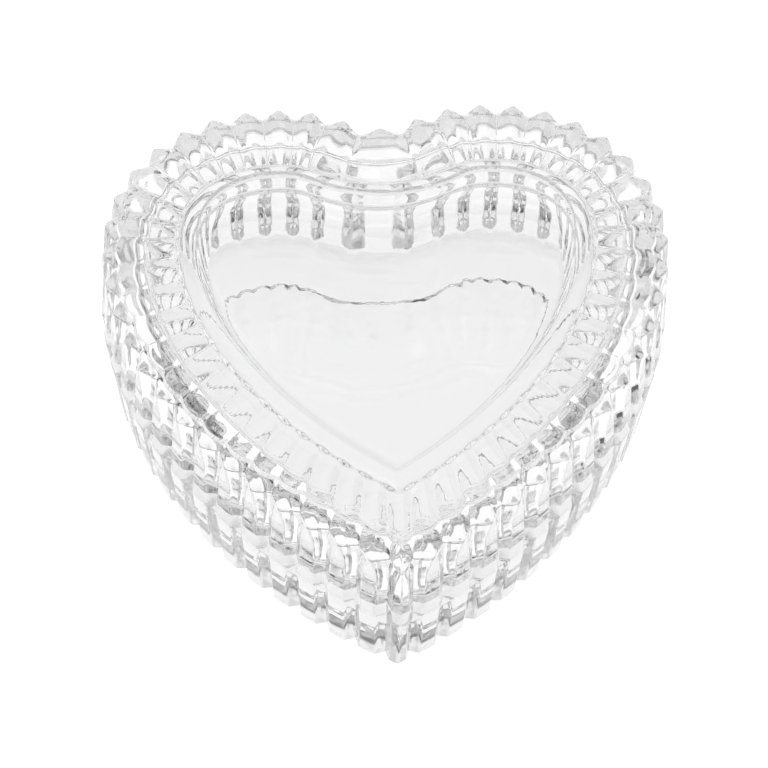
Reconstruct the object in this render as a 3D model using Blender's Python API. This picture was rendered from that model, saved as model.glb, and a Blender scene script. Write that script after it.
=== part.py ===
"""Heart-shaped trinket box in pressed clear glass.

Two loose pieces: a shallow ribbed base with a locating collar, and a ribbed lid with a
raised rim round a flat top panel. Metres, +Z up, origin at the centre of the footprint.
The point of the heart faces -Y.
"""

import math
from collections import namedtuple

import bmesh
import bpy

MM = 0.001

# Heart outline at the crests of the ribs, right-hand half, in plan.
CLEFT = (0.0, 42.8)
LOBE_TOP = (18.3, 47.1)
SIDE = (50.0, 18.2)
TIP = (0.0, -47.1)
TIP_ANGLE = math.radians(24.5)
CLEFT_HANDLE = 5.0
LOBE_HANDLE_IN = 10.3
LOBE_HANDLE_OUT = 19.0
SIDE_HANDLE_UP = 16.0
SIDE_HANDLE_DOWN = 30.4
TIP_HANDLE = 23.5
CURVE_STEPS = 120

# Ribs: whole pitches from the point to the cleft on each half.
PITCHES_PER_HALF = 25
CREST_SHOULDER_DROP = 0.08
RIB_DEPTH = 1.35
LEDGE_RIB_DEPTH = 1.7
LEDGE_CREST = 0.1
SCALLOP_DEPTH = 1.15
FLUTE_DEPTH = 0.3

# Mitre at the point: rings are squeezed along this much of each side.
MITRE_REACH = 40.0

# The rim of the lid spreads outwards over this stretch of each side, away from the point.
SPREAD_START = 8.0
SPREAD_LENGTH = 40.0
RIM_SPREAD = 2.4

# Heights of the base. Both pieces are widest at the seam and draw in away from it.
SEAM_Z = 22.0
FLOOR_Z = 4.5
RECESS_Z = 1.0
COLLAR_TOP_Z = 26.0
FOOT_INSET = 1.7
ARCH_HEIGHT = 3.6

# Lid, measured from its own bottom edge, which sits just clear of the base.
SEAT_GAP = 0.3
LID_HEIGHT = 17.7
LID_CAVITY_HEIGHT = 12.8
PANEL_HEIGHT = 16.35
LEDGE_HEIGHT = 14.8

# The glass.
REFRACTIVE_INDEX = 1.52
POLISH_ROUGHNESS = 0.02
SHARP_EDGE_ANGLE = math.radians(20.0)

# One line of the surface: inset from the outline, height, how far the grooves between
# the ribs step inwards (None where the line is smooth) and down, half the width of the
# flat crest as a share of the pitch, and how much further out the line lies along the
# sides and back than at the point. Tables run so that faces point outwards.
Ring = namedtuple("Ring", "inset height cut sink crest spread", defaults=(None, 0.0, 0.25, 0.0))

BASE_RINGS = (
    Ring(17.4, RECESS_Z),
    Ring(16.2, 0.0),
    Ring(FOOT_INSET + 0.7, 0.0, RIB_DEPTH),
    Ring(FOOT_INSET, 0.7, RIB_DEPTH),
    Ring(0.0, SEAM_Z - ARCH_HEIGHT, RIB_DEPTH),
    Ring(0.9, SEAM_Z - 0.4, SCALLOP_DEPTH),
    Ring(1.3, SEAM_Z, SCALLOP_DEPTH),
    Ring(5.5, SEAM_Z),
    Ring(5.6, COLLAR_TOP_Z - 0.5),
    Ring(6.1, COLLAR_TOP_Z),
    Ring(7.4, COLLAR_TOP_Z),
    Ring(7.9, COLLAR_TOP_Z - 0.5),
    Ring(8.7, FLOOR_Z + 8.0),
    Ring(10.2, FLOOR_Z + 3.4),
    Ring(12.8, FLOOR_Z + 1.1),
    Ring(17.0, FLOOR_Z),
)
LID_RINGS = (
    Ring(11.0, LID_CAVITY_HEIGHT),
    Ring(8.4, LID_CAVITY_HEIGHT - 0.7),
    Ring(6.5, LID_CAVITY_HEIGHT - 3.2),
    Ring(4.9, 0.4),
    Ring(4.5, 0.0),
    Ring(0.5, 0.0, RIB_DEPTH),
    Ring(0.0, 0.5, RIB_DEPTH),
    Ring(0.8, LEDGE_HEIGHT - 0.2, LEDGE_RIB_DEPTH, 0.0, LEDGE_CREST),
    Ring(1.0, LEDGE_HEIGHT, LEDGE_RIB_DEPTH, 0.6, LEDGE_CREST),
    Ring(5.6, LEDGE_HEIGHT + 0.9, SCALLOP_DEPTH, 0.1, 0.03, RIM_SPREAD),
    Ring(5.8, LEDGE_HEIGHT + 1.7, SCALLOP_DEPTH, 0.1, 0.03, RIM_SPREAD),
    Ring(9.6, LID_HEIGHT - 0.7, FLUTE_DEPTH, 0.45, 0.1, 1.0),
    Ring(13.7, LID_HEIGHT - 0.9),
    Ring(14.1, LID_HEIGHT - 0.3),
    Ring(15.0, LID_HEIGHT),
    Ring(16.8, LID_HEIGHT - 0.1),
    Ring(17.9, PANEL_HEIGHT + 0.3),
    Ring(19.0, PANEL_HEIGHT),
)


def clear_scene():
    for obj in list(bpy.data.objects):
        bpy.data.objects.remove(obj, do_unlink=True)


def bezier(start, first_handle, second_handle, end, t):
    u = 1.0 - t
    weights = (u ** 3, 3 * u * u * t, 3 * u * t * t, t ** 3)
    points = (start, first_handle, second_handle, end)
    x = sum(w * p[0] for w, p in zip(weights, points))
    y = sum(w * p[1] for w, p in zip(weights, points))
    return x, y


def half_outline():
    """Points from the tip, up the right-hand side and round the lobe to the cleft."""
    tip_handle = (TIP_HANDLE * math.cos(TIP_ANGLE), TIP[1] + TIP_HANDLE * math.sin(TIP_ANGLE))
    spans = (
        (TIP, tip_handle, (SIDE[0], SIDE[1] - SIDE_HANDLE_DOWN), SIDE),
        (SIDE, (SIDE[0], SIDE[1] + SIDE_HANDLE_UP), (LOBE_TOP[0] + LOBE_HANDLE_OUT, LOBE_TOP[1]), LOBE_TOP),
        (LOBE_TOP, (LOBE_TOP[0] - LOBE_HANDLE_IN, LOBE_TOP[1]), (CLEFT_HANDLE, CLEFT[1]), CLEFT),
    )
    points = [TIP]
    for span in spans:
        for step in range(1, CURVE_STEPS + 1):
            points.append(bezier(*span, step / CURVE_STEPS))
    return points


class Outline:
    """The half outline, looked up by distance along it from the tip."""

    def __init__(self):
        self.points = half_outline()
        self.lengths = [0.0]
        for a, b in zip(self.points, self.points[1:]):
            self.lengths.append(self.lengths[-1] + math.dist(a, b))
        self.total = self.lengths[-1]

    def locate(self, distance):
        """Position and inward normal at a distance along the half outline."""
        distance = min(max(distance, 0.0), self.total)
        index = 1
        while index < len(self.lengths) - 1 and self.lengths[index] < distance:
            index += 1
        a, b = self.points[index - 1], self.points[index]
        span = self.lengths[index] - self.lengths[index - 1]
        t = (distance - self.lengths[index - 1]) / span
        position = (a[0] + (b[0] - a[0]) * t, a[1] + (b[1] - a[1]) * t)
        return position, self.normal(index, t)

    def normal(self, index, t):
        """Inward normal, blended between the two ends of a segment."""
        before = self.chord(max(index - 2, 0), index)
        after = self.chord(index - 1, min(index + 1, len(self.points) - 1))
        dx = before[0] + (after[0] - before[0]) * t
        dy = before[1] + (after[1] - before[1]) * t
        size = math.hypot(dx, dy)
        return -dy / size, dx / size

    def chord(self, first, last):
        a, b = self.points[first], self.points[last]
        size = math.dist(a, b)
        return (b[0] - a[0]) / size, (b[1] - a[1]) / size

    def mitre_start(self, inset):
        """Distance along the side at which a line inset this far meets the centre line."""
        low, high = 0.0, MITRE_REACH
        for _ in range(50):
            middle = (low + high) / 2
            position, normal = self.locate(middle)
            if position[0] + inset * normal[0] > 0.0:
                high = middle
            else:
                low = middle
        return high

    def inset_point(self, distance, inset, ring_inset):
        """A point inset from the outline, with the ring mitred at the tip."""
        start = self.mitre_start(ring_inset)
        if distance < MITRE_REACH:
            distance = start + distance * (MITRE_REACH - start) / MITRE_REACH
        position, normal = self.locate(distance)
        x = position[0] + inset * normal[0]
        return max(x, 0.0), position[1] + inset * normal[1]


def rib_drop(phase, crest):
    """Depth below the crest, as a share of the rib depth: a flat crest and a V groove."""
    away = min(phase, 1.0 - phase)
    if away <= crest:
        return CREST_SHOULDER_DROP * away / crest
    rise = (away - crest) / (0.5 - crest)
    return CREST_SHOULDER_DROP + (1.0 - CREST_SHOULDER_DROP) * rise


def spreading(distance):
    """Share of a line's spread at this distance from the point, easing in and out."""
    t = min(max((distance - SPREAD_START) / SPREAD_LENGTH, 0.0), 1.0)
    return t * t * (3.0 - 2.0 * t)


def half_ring(outline, ring):
    """Points of one ring from the tip to the cleft, ribbed or smooth."""
    pitch = outline.total / PITCHES_PER_HALF
    ribbed = ring.cut is not None
    phases = (0.0, ring.crest, 0.5, 1.0 - ring.crest) if ribbed else (0.0, 0.5)
    stations = [rib + phase for rib in range(PITCHES_PER_HALF) for phase in phases]
    stations.append(float(PITCHES_PER_HALF))
    points = []
    for station in stations:
        drop = rib_drop(station % 1.0, ring.crest) if ribbed else 0.0
        inset = ring.inset + drop * (ring.cut or 0.0)
        inset -= ring.spread * spreading(station * pitch)
        x, y = outline.inset_point(station * pitch, inset, ring.inset)
        points.append((x, y, ring.height - drop * ring.sink))
    points[0] = (0.0, *points[0][1:])
    points[-1] = (0.0, *points[-1][1:])
    return points


def add_ring(bm, outline, ring):
    right = half_ring(outline, ring)
    left = [(-x, y, z) for x, y, z in reversed(right[1:-1])]
    return [bm.verts.new((x * MM, y * MM, z * MM)) for x, y, z in right + left]


def join_equal(bm, lower, upper):
    count = len(lower)
    for i in range(count):
        j = (i + 1) % count
        bm.faces.new((lower[i], lower[j], upper[j], upper[i]))


def join_ribbed_to_smooth(bm, ribbed, smooth, ribbed_first):
    """Every second point of the ribbed ring faces a point of the smooth ring."""
    count = len(smooth)
    for j in range(count):
        a, b, c = ribbed[2 * j], ribbed[2 * j + 1], ribbed[(2 * j + 2) % len(ribbed)]
        near, far = smooth[j], smooth[(j + 1) % count]
        if ribbed_first:
            bm.faces.new((a, b, near))
            bm.faces.new((b, c, far, near))
        else:
            bm.faces.new((b, a, near))
            bm.faces.new((c, b, near, far))


def join_rings(bm, lower, upper):
    if len(lower) == len(upper):
        join_equal(bm, lower, upper)
    elif len(lower) > len(upper):
        join_ribbed_to_smooth(bm, lower, upper, True)
    else:
        join_ribbed_to_smooth(bm, upper, lower, False)


def glass_material(name, colour):
    material = bpy.data.materials.new(name)
    material.use_nodes = True
    shader = material.node_tree.nodes["Principled BSDF"]
    shader.inputs["Base Color"].default_value = colour
    shader.inputs["Roughness"].default_value = POLISH_ROUGHNESS
    shader.inputs["Metallic"].default_value = 0.0
    shader.inputs["IOR"].default_value = REFRACTIVE_INDEX
    shader.inputs["Transmission Weight"].default_value = 1.0
    return material


def lofted_piece(name, outline, rings, material):
    """A closed body lofted through its rings, with a flat face across each end."""
    bm = bmesh.new()
    loops = [add_ring(bm, outline, ring) for ring in rings]
    bm.faces.new(list(reversed(loops[0])))
    for lower, upper in zip(loops, loops[1:]):
        join_rings(bm, lower, upper)
    bm.faces.new(loops[-1])
    bmesh.ops.recalc_face_normals(bm, faces=bm.faces[:])
    mesh = bpy.data.meshes.new(name)
    bm.to_mesh(mesh)
    bm.free()
    mesh.shade_smooth()
    mesh.set_sharp_from_angle(angle=SHARP_EDGE_ANGLE)
    mesh.materials.append(material)
    piece = bpy.data.objects.new(name, mesh)
    bpy.context.scene.collection.objects.link(piece)
    return piece


def build_base(outline):
    material = glass_material("base_glass", (0.95, 0.96, 0.96, 1.0))
    return lofted_piece("base", outline, BASE_RINGS, material)


def build_lid(outline):
    """The lid hangs on an empty at the centre of its seat, on the line it lifts along."""
    seat = bpy.data.objects.new("lid_seat", None)
    seat.location = (0.0, 0.0, (SEAM_Z + SEAT_GAP) * MM)
    bpy.context.scene.collection.objects.link(seat)
    material = glass_material("lid_glass", (0.96, 0.97, 0.97, 1.0))
    lid = lofted_piece("lid", outline, LID_RINGS, material)
    lid.parent = seat
    return lid


def main():
    clear_scene()
    outline = Outline()
    build_base(outline)
    build_lid(outline)


main()
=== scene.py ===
"""The look of a heart-shaped pressed-glass trinket box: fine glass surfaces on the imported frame.

Lengths are in millimetres and heights are above the floor, unless a comment says otherwise.
"""

import math

import bpy
import numpy as np
from mathutils import Matrix, Vector, noise


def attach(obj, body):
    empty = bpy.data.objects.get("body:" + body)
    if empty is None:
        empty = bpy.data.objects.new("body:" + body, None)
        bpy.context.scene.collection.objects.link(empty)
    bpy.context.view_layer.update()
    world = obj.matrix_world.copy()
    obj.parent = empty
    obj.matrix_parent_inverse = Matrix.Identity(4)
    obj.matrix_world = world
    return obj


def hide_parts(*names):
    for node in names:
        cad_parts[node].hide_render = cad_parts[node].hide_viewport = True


MM = 0.001

# Heart outline at the crests of the ribs, right-hand half, in plan.
CLEFT = (0.0, 42.8)
LOBE_TOP = (18.3, 47.1)
SIDE = (50.0, 18.2)
TIP = (0.0, -47.1)
TIP_ANGLE = math.radians(24.5)
CLEFT_HANDLE = 5.0
LOBE_HANDLE_IN = 10.3
LOBE_HANDLE_OUT = 19.0
SIDE_HANDLE_UP = 16.0
SIDE_HANDLE_DOWN = 30.4
TIP_HANDLE = 23.5
CURVE_STEPS = 500
PITCHES_PER_HALF = 25

# Distances along the outline from the tip: how far the mitre squeezes the ribs of an inner
# line together, and over what stretch the rim spreads out to its full width.
MITRE_REACH = 40.0
SPREAD_START = 8.0
SPREAD_LENGTH = 40.0

# Where each rib is sampled, from its crest (0) to its valley (0.5), in pitches.
HALF_PHASES = (0.0, 0.07, 0.14, 0.19, 0.23, 0.27, 0.32, 0.38, 0.43, 0.47, 0.5)

# Shape across one rib: share of the flank that is rounded, crown of the flat crest, and how
# round the bottom of the groove between two petals is, in pitches.
FLANK_ROUNDING = 0.2
CREST_CROWN = 0.04
GROOVE_ROUNDING = 0.07

SEAM_Z = 22.0
SEAT_GAP = 0.3
LID_Z = SEAM_Z + SEAT_GAP
COLLAR_TOP_Z = 26.0
FLOOR_Z = 4.5
TOP_Z = 40.0

# Slow and fine wander of the glass surface, its two scales per millimetre, and the seed
# that sets each piece's own wander.
WAVINESS = 0.035
FINE_SHARE = 0.35
SLOW_SCALE = 0.09
FINE_SCALE = 0.35
LID_SEED = 11.0
BASE_SEED = 37.0

# Flat ends are filled with shrinking copies of their edge round this centre.
MIDDLE_Y = 12.0
CAP_SIZES = (0.9, 0.78, 0.64, 0.48, 0.32, 0.16)

LONGEST_STRIP = 2.5
CORNER_STEPS = 4
SHARP_EDGE = math.radians(55.0)

# Clear glass. Absorption is per metre of glass.
GLASS_TINT = (0.938, 0.938, 0.939)
GLASS_IOR = 1.52
ABSORPTION_DENSITY = 2.8
ABSORPTION_COLOUR = (0.2, 0.2, 0.2, 1.0)
TINT_LIFT = 1.02
RIPPLE_STRENGTH = 0.18
RIPPLE_DEPTH = 0.0006
CHILL_SHARE = 0.12
SMEAR_ROUGHNESS = 0.035
WEAR_ROUGHNESS = 0.09
WEAR_REACH = 0.0012

# The stage, in metres.
FLOOR_HALF_SIZE = 1.5
FLOOR_HEIGHT = -0.0002
FLOOR_GREY = (0.4, 0.4, 0.4, 1.0)
FLOOR_GLOW = 0.86

# The light tent: how bright it is near the horizon, and the heights in degrees between
# which it grows to full white.
SKY_LOW = 0.63
SKY_FROM = 30.0
SKY_FULL = 48.0
DARK_SPOTS = (
    # azimuth, elevation, angular radius, softness, how dark
    (-5.0, 60.0, 9.0, 6.0, 0.9),
    (159.0, 29.0, 16.0, 5.0, 1.0),
    (118.0, 37.0, 14.0, 5.0, 1.0),
    (75.0, 30.0, 14.0, 6.0, 1.0),
)
SOFTBOXES = (
    # name, azimuth, elevation
    ("key_softbox", -60.0, 50.0),
    ("back_softbox", 160.0, 45.0),
)
SOFTBOX_SIZE = 0.35
SOFTBOX_POWER = 0.35
SOFTBOX_DISTANCE = 1.0

# The camera: angles in degrees, distances in metres.
CAMERA_AZIMUTH = -4.34
CAMERA_ELEVATION = 60.87
CAMERA_ROLL = 2.16
CAMERA_DISTANCE = 0.8805
CAMERA_TARGET = Vector((0.00005, 0.011, 0.0))
SENSOR_WIDTH = 36.0
FOCAL_LENGTH = 229.6875
LIGHT_BOUNCES = 16
DIFFUSE_BOUNCES = 4

# Without a fixed seed the noise vectors start from the clock and differ on every run.
NOISE_SEED = 7
noise.seed_set(NOISE_SEED)

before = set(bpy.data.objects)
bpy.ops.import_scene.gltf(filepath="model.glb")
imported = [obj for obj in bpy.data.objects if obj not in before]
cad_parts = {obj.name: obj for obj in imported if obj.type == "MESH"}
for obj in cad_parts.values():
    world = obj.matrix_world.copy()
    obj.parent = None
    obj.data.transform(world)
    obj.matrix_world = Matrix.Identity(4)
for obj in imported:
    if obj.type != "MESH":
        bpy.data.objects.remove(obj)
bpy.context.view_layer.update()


# ---------------------------------------------------------------- outline


def bezier(points, t):
    """Points on a cubic curve in plan."""
    u = 1.0 - t
    weights = (u ** 3, 3 * u * u * t, 3 * u * t * t, t ** 3)
    return sum(np.outer(w, p) for w, p in zip(weights, points))


class Outline:
    """The right-hand half of the heart, from the tip to the cleft, by distance along it."""

    def __init__(self):
        tip_handle = (TIP_HANDLE * math.cos(TIP_ANGLE), TIP[1] + TIP_HANDLE * math.sin(TIP_ANGLE))
        side_below = (SIDE[0], SIDE[1] - SIDE_HANDLE_DOWN)
        side_above = (SIDE[0], SIDE[1] + SIDE_HANDLE_UP)
        lobe_outside = (LOBE_TOP[0] + LOBE_HANDLE_OUT, LOBE_TOP[1])
        lobe_inside = (LOBE_TOP[0] - LOBE_HANDLE_IN, LOBE_TOP[1])
        cleft_handle = (CLEFT_HANDLE, CLEFT[1])
        spans = (
            (TIP, tip_handle, side_below, SIDE),
            (SIDE, side_above, lobe_outside, LOBE_TOP),
            (LOBE_TOP, lobe_inside, cleft_handle, CLEFT),
        )
        t = np.linspace(0.0, 1.0, CURVE_STEPS + 1)[1:]
        self.xy = np.vstack([np.array([TIP])] + [bezier(span, t) for span in spans])
        steps = np.linalg.norm(np.diff(self.xy, axis=0), axis=1)
        self.s = np.concatenate([[0.0], np.cumsum(steps)])
        self.total = float(self.s[-1])
        tangent = np.gradient(self.xy, self.s, axis=0)
        tangent /= np.linalg.norm(tangent, axis=1)[:, None]
        self.normal = np.stack([-tangent[:, 1], tangent[:, 0]], axis=1)
        self.normal[-1] = (0.0, -1.0)

    def locate(self, s):
        """Place and inward normal at each distance from the tip."""
        position = np.stack([np.interp(s, self.s, self.xy[:, k]) for k in (0, 1)], axis=1)
        normal = np.stack([np.interp(s, self.s, self.normal[:, k]) for k in (0, 1)], axis=1)
        return position, normal / np.linalg.norm(normal, axis=1)[:, None]

    def mitre_start(self, inset):
        """Where a line inset this far leaves the centre line at the tip."""
        x = self.xy[:, 0] + inset * self.normal[:, 0]
        beyond = np.nonzero(x > 0.0)[0]
        return float(self.s[beyond[0]])

    def inset_line(self, stations, inset, ring_inset):
        """Points at the stations, each inset by its own amount, on a ring mitred at the tip.

        ring_inset is the inset of the ring as a whole, which sets where its mitre starts.
        """
        start = self.mitre_start(ring_inset)
        squeezed = start + stations * (MITRE_REACH - start) / MITRE_REACH
        s = np.where(stations < MITRE_REACH, squeezed, stations)
        position, normal = self.locate(s)
        points = position + inset[:, None] * normal
        points[:, 0] = np.maximum(points[:, 0], 0.0)
        points[0, 0] = 0.0
        points[-1, 0] = 0.0
        return points


OUTLINE = Outline()


def stations_and_phases():
    """Distance along the outline of every sample, and its place across its own rib."""
    mirrored = [1.0 - p for p in reversed(HALF_PHASES[1:-1])]
    phases = list(HALF_PHASES) + mirrored
    whole = [rib + phase for rib in range(PITCHES_PER_HALF) for phase in phases]
    whole.append(float(PITCHES_PER_HALF))
    whole = np.array(whole)
    return whole * OUTLINE.total / PITCHES_PER_HALF, whole % 1.0


STATIONS, PHASES = stations_and_phases()
AWAY = np.minimum(PHASES, 1.0 - PHASES)
SPREADING = np.clip((STATIONS - SPREAD_START) / SPREAD_LENGTH, 0.0, 1.0)
SPREADING = SPREADING ** 2 * (3.0 - 2.0 * SPREADING)


# ---------------------------------------------------------------- surface profile


class Ring:
    """One line of the surface: its inset and height, and how the ribs shape it.

    cut is how far the valleys step inwards, sink how far they step down, crest the half
    width of the flat crest, petal 1 where the ribs are broad pillows, and spread how much
    further out the line lies along the sides and back than it does at the tip. radius is
    about how far from the line its corner starts to be rounded off.
    """

    def __init__(
        self, inset, z, cut=0.0, sink=0.0, crest=0.22, petal=0.0, spread=0.0, radius=0.0
    ):
        self.values = np.array([inset, z, cut, sink, crest, petal, spread], dtype=float)
        self.radius = radius


def rounded(rings):
    """The list of ring values with each corner that asks for it rounded off."""
    out = []
    for i, ring in enumerate(rings):
        if ring.radius <= 0.0 or i in (0, len(rings) - 1):
            out.append(ring.values)
            continue
        before, after = rings[i - 1].values, rings[i + 1].values
        back = min(ring.radius / max(math.dist(before[:2], ring.values[:2]), 1e-6), 0.49)
        ahead = min(ring.radius / max(math.dist(after[:2], ring.values[:2]), 1e-6), 0.49)
        a = ring.values + (before - ring.values) * back
        b = ring.values + (after - ring.values) * ahead
        for k in range(CORNER_STEPS + 1):
            t = k / CORNER_STEPS
            out.append((1 - t) ** 2 * a + 2 * t * (1 - t) * ring.values + t * t * b)
    return out


def subdivided(values):
    """Extra lines on the long stretches, so that the glass can be a little uneven."""
    out = [values[0]]
    for a, b in zip(values, values[1:]):
        count = max(1, math.ceil(math.dist(a[:2], b[:2]) / LONGEST_STRIP))
        for k in range(1, count + 1):
            out.append(a + (b - a) * k / count)
    return out


def rib_shape(crest, petal):
    """Depth across one rib, 0 at the crest and 1 in the valley."""
    t = np.clip((AWAY - crest) / (0.5 - crest), 0.0, 1.0)
    tooth = (1.0 - FLANK_ROUNDING) * t + FLANK_ROUNDING * (1.5 * t - 0.5 * t ** 3)
    crown = CREST_CROWN * np.clip(AWAY / crest, 0.0, 1.0) ** 2
    tooth = crown + tooth * (1.0 - CREST_CROWN)
    rise = np.hypot(0.5 - AWAY, GROOVE_ROUNDING) - GROOVE_ROUNDING
    rise /= math.hypot(0.5, GROOVE_ROUNDING) - GROOVE_ROUNDING
    pillow = (1.0 - rise) ** 2
    return tooth * (1.0 - petal) + pillow * petal


def ring_points(value):
    """One closed line of the surface, anticlockwise from the tip as seen from above."""
    inset, z, cut, sink, crest, petal, spread = value
    shape = rib_shape(crest, petal)
    plan = OUTLINE.inset_line(STATIONS, inset + cut * shape - spread * SPREADING, inset)
    heights = z - sink * shape
    right = np.column_stack([plan, heights])
    left = right[-2:0:-1] * np.array([-1.0, 1.0, 1.0])
    return np.vstack([right, left])


def uneven(points, seed):
    """Pressed glass is never quite true: a slow, slight wander of the surface."""
    shift = Vector((seed, seed * 0.37, -seed))
    for p in points:
        wander = noise.noise_vector(Vector(p) * SLOW_SCALE + shift) * WAVINESS
        fine = noise.noise_vector(Vector(p) * FINE_SCALE + shift) * WAVINESS * FINE_SHARE
        p += np.array(wander + fine)
    return points


def shrunk(loop):
    """Ever smaller copies of the last line, to fill a flat end evenly."""
    centre = np.array([0.0, MIDDLE_Y, loop[:, 2].mean()])
    return [centre + (loop - centre) * size for size in CAP_SIZES]


def glass_body(name, rings, seed, material):
    """A closed glass pressing through all the rings, in order from its first flat end."""
    values = subdivided(rounded(rings))
    loops = [ring_points(v) for v in values]
    loops = shrunk(loops[0])[::-1] + loops + shrunk(loops[-1])
    width = len(loops[0])
    ends = [loop.mean(axis=0) * (0, 0, 1) + (0, MIDDLE_Y, 0) for loop in (loops[0], loops[-1])]
    points = uneven(np.vstack(loops + ends), seed) * MM
    faces = []
    for r in range(len(loops) - 1):
        low, high = r * width, (r + 1) * width
        for i in range(width):
            j = (i + 1) % width
            faces.append((low + i, low + j, high + j, high + i))
    first_centre, last_centre = len(points) - 2, len(points) - 1
    last_loop = (len(loops) - 1) * width
    for i in range(width):
        j = (i + 1) % width
        faces.append((last_loop + i, last_loop + j, last_centre))
        faces.append((j, i, first_centre))
    mesh = bpy.data.meshes.new(name)
    mesh.from_pydata(points.tolist(), [], faces)
    mesh.validate()
    mesh.shade_smooth()
    mesh.set_sharp_from_angle(angle=SHARP_EDGE)
    mesh.materials.append(material)
    piece = bpy.data.objects.new(name, mesh)
    bpy.context.scene.collection.objects.link(piece)
    return piece


# ---------------------------------------------------------------- the two pieces


def lid_rings():
    """From the roof of the hollow, down inside, round the skirt's foot, and up over the top."""
    return (
        Ring(16.0, TOP_Z - 4.9),
        Ring(8.0, TOP_Z - 4.9, radius=0.8),
        Ring(6.3, TOP_Z - 8.0, radius=2.5),
        Ring(4.9, LID_Z + 0.3, radius=0.5),
        Ring(4.4, LID_Z, radius=0.2),
        Ring(0.8, LID_Z, cut=1.3, crest=0.27, radius=0.2),
        Ring(0.3, LID_Z + 0.5, cut=1.35, crest=0.27, radius=0.3),
        Ring(0.6, TOP_Z - 6.0, cut=1.45, crest=0.2, radius=1.5),
        Ring(0.75, TOP_Z - 2.9, cut=1.8, sink=0.3, crest=0.05, radius=0.5),
        Ring(5.3, TOP_Z - 2.35, cut=0.75, sink=0.1, crest=0.02, petal=1.0, spread=2.4, radius=0.05),
        Ring(5.6, TOP_Z - 1.2, cut=0.75, sink=0.35, crest=0.02, petal=1.0, spread=2.4, radius=0.1),
        Ring(6.6, TOP_Z - 0.75, cut=0.65, sink=0.6, crest=0.1, petal=1.0, spread=2.2, radius=0.4),
        Ring(10.0, TOP_Z - 0.6, cut=0.2, sink=1.1, crest=0.1, petal=1.0, spread=1.0, radius=1.5),
        Ring(13.4, TOP_Z - 1.0, cut=0.0, sink=0.6, crest=0.2, petal=1.0, radius=0.25),
        Ring(14.0, TOP_Z - 0.3, radius=0.35),
        Ring(15.2, TOP_Z + 0.02, radius=0.7),
        Ring(16.8, TOP_Z - 0.1, radius=0.8),
        Ring(17.7, TOP_Z - 0.95, radius=0.7),
        Ring(19.2, TOP_Z - 1.35, radius=0.7),
        Ring(20.2, TOP_Z - 1.35),
    )


def base_rings():
    """From the foot's recess, out, up the wall, over the collar, and down into the tray."""
    return (
        Ring(18.8, 1.0),
        Ring(17.2, 1.0, cut=0.9, crest=0.1, radius=0.25),
        Ring(16.5, 0.0, cut=0.5, crest=0.1, radius=0.25),
        Ring(2.4, 0.0, cut=1.2, crest=0.27, radius=0.3),
        Ring(1.7, 0.7, cut=1.35, crest=0.27, radius=0.4),
        Ring(0.0, SEAM_Z - 3.2, cut=1.35, crest=0.26, radius=0.6),
        Ring(1.5, SEAM_Z - 0.8, cut=0.9, crest=0.2, radius=0.5),
        Ring(2.2, SEAM_Z, cut=0.7, crest=0.2, radius=0.2),
        Ring(5.5, SEAM_Z, radius=0.3),
        Ring(5.7, COLLAR_TOP_Z, radius=0.6),
        Ring(7.8, COLLAR_TOP_Z, radius=0.6),
        Ring(8.7, FLOOR_Z + 8.5, radius=4.0),
        Ring(11.3, FLOOR_Z + 1.6, radius=3.5),
        Ring(17.0, FLOOR_Z + 0.1, radius=2.5),
        Ring(20.5, FLOOR_Z),
    )


# ---------------------------------------------------------------- material


def new_node(tree, kind, **values):
    """A node with its sockets set by name, and its other settings as attributes."""
    node = tree.nodes.new(kind)
    for key, value in values.items():
        if key in node.inputs:
            node.inputs[key].default_value = value
        else:
            setattr(node, key, value)
    return node


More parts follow.
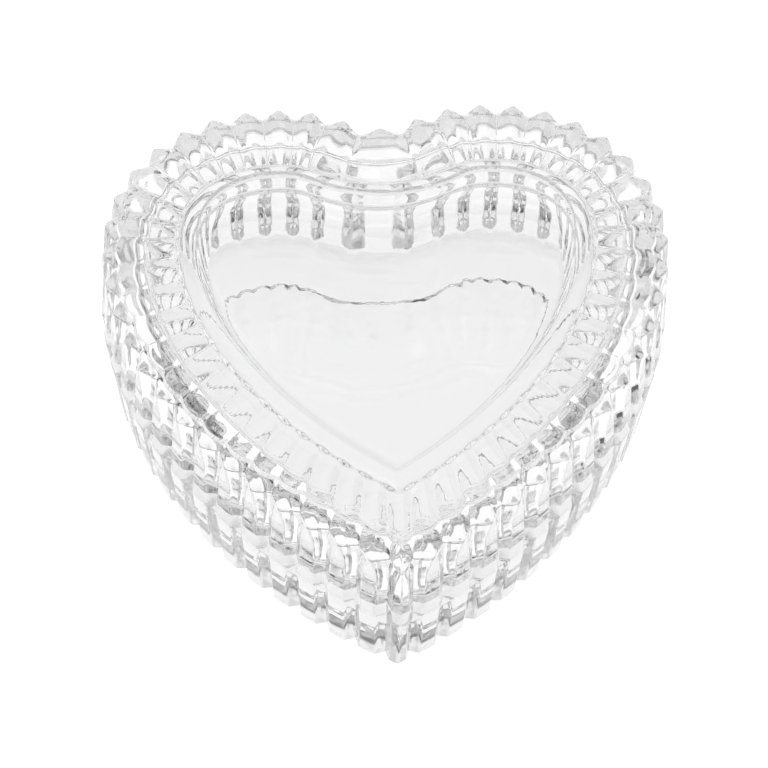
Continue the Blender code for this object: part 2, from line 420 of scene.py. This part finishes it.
def pressed_glass(name, rest_height):
    """Clear pressed glass: slight flow ripples, hazier where it is handled and where it rests.

    rest_height is the height in metres of the edge that the piece stands on.
    """
    material = bpy.data.materials.new(name)
    material.use_nodes = True
    tree = material.node_tree
    link = tree.links.new
    shader = tree.nodes["Principled BSDF"]
    shader.inputs["IOR"].default_value = GLASS_IOR
    shader.inputs["Transmission Weight"].default_value = 1.0
    shader.inputs["Metallic"].default_value = 0.0

    coords = new_node(tree, "ShaderNodeTexCoord")
    flow = new_node(tree, "ShaderNodeTexNoise", Scale=55.0, Detail=3.0, Roughness=0.45)
    link(coords.outputs["Object"], flow.inputs["Vector"])
    chill = new_node(tree, "ShaderNodeTexNoise", Scale=420.0, Detail=2.0, Roughness=0.5)
    link(coords.outputs["Object"], chill.inputs["Vector"])
    height = new_node(tree, "ShaderNodeMath", operation="MULTIPLY_ADD")
    height.inputs[1].default_value = CHILL_SHARE
    link(chill.outputs["Fac"], height.inputs[0])
    link(flow.outputs["Fac"], height.inputs[2])
    bump = new_node(tree, "ShaderNodeBump", Strength=RIPPLE_STRENGTH, Distance=RIPPLE_DEPTH)
    link(height.outputs[0], bump.inputs["Height"])
    link(bump.outputs["Normal"], shader.inputs["Normal"])

    smear = new_node(tree, "ShaderNodeTexNoise", Scale=90.0, Detail=5.0, Roughness=0.6)
    link(coords.outputs["Object"], smear.inputs["Vector"])
    ramp = new_node(tree, "ShaderNodeMapRange")
    ramp.inputs["From Min"].default_value = 0.45
    ramp.inputs["From Max"].default_value = 0.75
    ramp.inputs["To Min"].default_value = 0.0
    ramp.inputs["To Max"].default_value = SMEAR_ROUGHNESS
    link(smear.outputs["Fac"], ramp.inputs["Value"])
    split = new_node(tree, "ShaderNodeSeparateXYZ")
    link(coords.outputs["Object"], split.inputs[0])
    wear = new_node(tree, "ShaderNodeMapRange")
    wear.inputs["From Min"].default_value = rest_height + WEAR_REACH
    wear.inputs["From Max"].default_value = rest_height
    wear.inputs["To Min"].default_value = 0.0
    wear.inputs["To Max"].default_value = WEAR_ROUGHNESS
    link(split.outputs["Z"], wear.inputs["Value"])
    rough = new_node(tree, "ShaderNodeMath", operation="ADD")
    link(ramp.outputs[0], rough.inputs[0])
    link(wear.outputs[0], rough.inputs[1])
    link(rough.outputs[0], shader.inputs["Roughness"])

    cast = new_node(tree, "ShaderNodeTexNoise", Scale=18.0, Detail=1.0)
    link(coords.outputs["Object"], cast.inputs["Vector"])
    colour = new_node(tree, "ShaderNodeMix", data_type="RGBA")
    colour.inputs[6].default_value = (*GLASS_TINT, 1.0)
    colour.inputs[7].default_value = (*[min(1.0, c * TINT_LIFT) for c in GLASS_TINT], 1.0)
    link(cast.outputs["Fac"], colour.inputs[0])
    link(colour.outputs[2], shader.inputs["Base Color"])
    absorb = new_node(tree, "ShaderNodeVolumeAbsorption", Density=ABSORPTION_DENSITY)
    absorb.inputs["Color"].default_value = ABSORPTION_COLOUR
    link(absorb.outputs[0], tree.nodes["Material Output"].inputs["Volume"])
    return material


# ---------------------------------------------------------------- stage, light and camera


def make_floor():
    """A plain pale floor that glows a little, so that it reads white under soft light."""
    mesh = bpy.data.meshes.new("floor")
    size = FLOOR_HALF_SIZE
    corners = [(-size, -size, 0), (size, -size, 0), (size, size, 0), (-size, size, 0)]
    mesh.from_pydata(corners, [], [(0, 1, 2, 3)])
    floor = bpy.data.objects.new("floor", mesh)
    floor.location.z = FLOOR_HEIGHT
    bpy.context.scene.collection.objects.link(floor)
    material = bpy.data.materials.new("pale_floor")
    material.use_nodes = True
    shader = material.node_tree.nodes["Principled BSDF"]
    shader.inputs["Base Color"].default_value = FLOOR_GREY
    shader.inputs["Roughness"].default_value = 0.9
    shader.inputs["Specular IOR Level"].default_value = 0.0
    shader.inputs["Emission Color"].default_value = (1.0, 1.0, 1.0, 1.0)
    shader.inputs["Emission Strength"].default_value = FLOOR_GLOW
    mesh.materials.append(material)


def direction(azimuth, elevation):
    """Towards a place in the sky: azimuth 0 is in front of the tip, 90 to its right."""
    a, e = math.radians(azimuth), math.radians(elevation)
    return Vector((math.sin(a) * math.cos(e), -math.cos(a) * math.cos(e), math.sin(e)))


def times(tree, a, b):
    """The product of two nodes' first outputs."""
    product = new_node(tree, "ShaderNodeMath", operation="MULTIPLY")
    tree.links.new(a.outputs[0], product.inputs[0])
    tree.links.new(b.outputs[0], product.inputs[1])
    return product


def make_world():
    """A white light tent overhead, falling to dark near the horizon, with a few dark openings."""
    world = bpy.data.worlds.new("light_tent")
    bpy.context.scene.world = world
    world.use_nodes = True
    tree = world.node_tree
    link = tree.links.new
    background = tree.nodes["Background"]
    coords = new_node(tree, "ShaderNodeTexCoord")
    split = new_node(tree, "ShaderNodeSeparateXYZ")
    link(coords.outputs["Generated"], split.inputs[0])
    level = new_node(tree, "ShaderNodeMapRange", interpolation_type="SMOOTHSTEP")
    level.inputs["From Min"].default_value = math.sin(math.radians(SKY_FROM))
    level.inputs["From Max"].default_value = math.sin(math.radians(SKY_FULL))
    level.inputs["To Min"].default_value = SKY_LOW
    level.inputs["To Max"].default_value = 1.0
    link(split.outputs["Z"], level.inputs["Value"])
    for azimuth, elevation, radius, soft, dark in DARK_SPOTS:
        dot = new_node(tree, "ShaderNodeVectorMath", operation="DOT_PRODUCT")
        dot.inputs[1].default_value = direction(azimuth, elevation)
        link(coords.outputs["Generated"], dot.inputs[0])
        spot = new_node(tree, "ShaderNodeMapRange", interpolation_type="SMOOTHSTEP")
        spot.inputs["From Min"].default_value = math.cos(math.radians(radius + soft))
        spot.inputs["From Max"].default_value = math.cos(math.radians(radius))
        spot.inputs["To Min"].default_value = 1.0
        spot.inputs["To Max"].default_value = 1.0 - dark
        link(dot.outputs["Value"], spot.inputs["Value"])
        level = times(tree, level, spot)
    link(level.outputs[0], background.inputs["Color"])
    background.inputs["Strength"].default_value = 1.0


def make_lights():
    for name, azimuth, elevation in SOFTBOXES:
        data = bpy.data.lights.new(name, "AREA")
        data.shape = "SQUARE"
        data.size = SOFTBOX_SIZE
        data.energy = SOFTBOX_POWER
        lamp = bpy.data.objects.new(name, data)
        where = direction(azimuth, elevation)
        lamp.location = where * SOFTBOX_DISTANCE
        lamp.rotation_euler = where.to_track_quat("Z", "Y").to_euler()
        bpy.context.scene.collection.objects.link(lamp)


def make_camera():
    """A long lens from above the point of the heart, a little to its left."""
    data = bpy.data.cameras.new("camera")
    data.sensor_width = SENSOR_WIDTH
    data.lens = FOCAL_LENGTH
    data.clip_start = 0.01
    data.clip_end = 20.0
    camera = bpy.data.objects.new("camera", data)
    away = direction(CAMERA_AZIMUTH, CAMERA_ELEVATION)
    place = Matrix.Translation(CAMERA_TARGET + away * CAMERA_DISTANCE)
    rotation = away.to_track_quat("Z", "Y").to_matrix().to_4x4()
    roll = Matrix.Rotation(math.radians(CAMERA_ROLL), 4, "Z")
    camera.matrix_world = place @ rotation @ roll
    bpy.context.scene.collection.objects.link(camera)
    bpy.context.scene.camera = camera


def set_look():
    scene = bpy.context.scene
    scene.view_settings.view_transform = "Standard"
    scene.view_settings.look = "None"
    scene.cycles.max_bounces = LIGHT_BOUNCES
    scene.cycles.transmission_bounces = LIGHT_BOUNCES
    scene.cycles.glossy_bounces = LIGHT_BOUNCES
    scene.cycles.diffuse_bounces = DIFFUSE_BOUNCES


lid_glass = pressed_glass("lid_clear_glass", LID_Z * MM)
base_glass = pressed_glass("base_clear_glass", 0.0)
lid = glass_body("glass_lid", lid_rings(), LID_SEED, lid_glass)
base = glass_body("glass_base", base_rings(), BASE_SEED, base_glass)
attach(lid, "lid")
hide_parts("lid")
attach(base, "base")
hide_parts("base")

make_floor()
make_world()
make_lights()
make_camera()
set_look()
